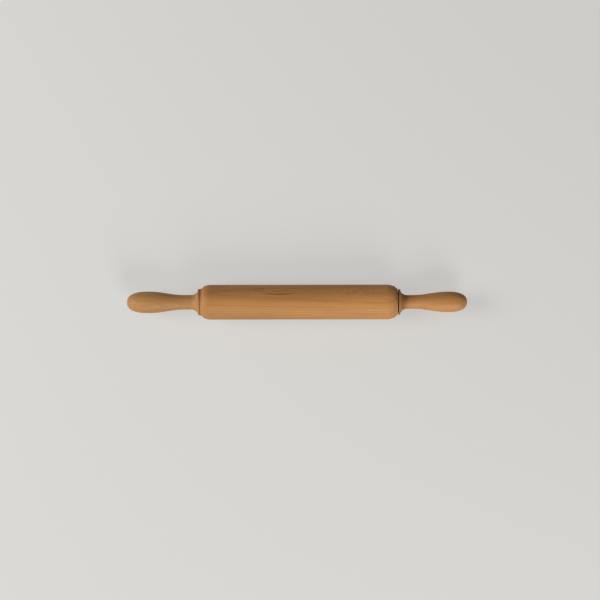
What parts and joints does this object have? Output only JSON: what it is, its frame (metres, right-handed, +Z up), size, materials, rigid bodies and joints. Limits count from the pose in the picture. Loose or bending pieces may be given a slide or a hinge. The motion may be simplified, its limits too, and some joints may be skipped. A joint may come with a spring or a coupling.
{
  "type": "rolling pin",
  "caption": "Turned wooden rolling pin whose barrel spins on ball bearings between two waisted bulb handles, for rolling out dough.",
  "frame": {"origin": "on the axle's centre line, midway between the barrel's two noses", "axes": "+X along the axle towards the right-hand handle, +Z up with the pin lying on a worktop, +Y away from the user"},
  "size_m": [0.4321, 0.0442, 0.0442],
  "materials": {
    "barrel_wood": "turned and oiled beech, satin",
    "handle_wood": "turned and oiled beech, satin",
    "axle_steel": "cold-drawn",
    "washer_steel": "zinc plated",
    "ring_steel": "ground",
    "ball_steel": "polished",
    "cage_steel": "pressed",
    "shield_steel": "pressed",
    "insert_brass": "machined"
  },
  "bodies": {
    "handles": {"left_handle": "handle_wood", "right_handle": "handle_wood", "axle_rod": "axle_steel", "left_threaded_insert": "insert_brass", "right_threaded_insert": "insert_brass", "left_spacer_washer": "washer_steel", "right_spacer_washer": "washer_steel", "left_bearing_inner_ring": "ring_steel", "right_bearing_inner_ring": "ring_steel"},
    "barrel": {"barrel": "barrel_wood", "left_bearing_outer_ring": "ring_steel", "right_bearing_outer_ring": "ring_steel", "left_bearing_shield_outboard": "shield_steel", "right_bearing_shield_outboard": "shield_steel", "left_bearing_shield_inboard": "shield_steel", "right_bearing_shield_inboard": "shield_steel"},
    "left_ball_set": {"left_bearing_balls": "ball_steel", "left_bearing_cage_outboard": "cage_steel", "left_bearing_cage_inboard": "cage_steel", "left_bearing_cage_rivets": "cage_steel"},
    "right_ball_set": {"right_bearing_balls": "ball_steel", "right_bearing_cage_outboard": "cage_steel", "right_bearing_cage_inboard": "cage_steel", "right_bearing_cage_rivets": "cage_steel"}
  },
  "joints": [
    {"name": "barrel_spin", "type": "hinge", "parent": "handles", "child": "barrel", "pos_m": [0, 0, 0], "axis": [1, 0, 0], "continuous": true},
    {"name": "left_ball_orbit", "type": "hinge", "parent": "handles", "child": "left_ball_set", "pos_m": [-0.121, 0, 0], "axis": [1, 0, 0], "continuous": true},
    {"name": "right_ball_orbit", "type": "hinge", "parent": "handles", "child": "right_ball_set", "pos_m": [0.121, 0, 0], "axis": [1, 0, 0], "continuous": true}
  ],
  "couplings": [
    {"joint": "left_ball_orbit", "follows": "barrel_spin", "ratio": 0.6323},
    {"joint": "right_ball_orbit", "follows": "barrel_spin", "ratio": 0.6323}
  ]
}
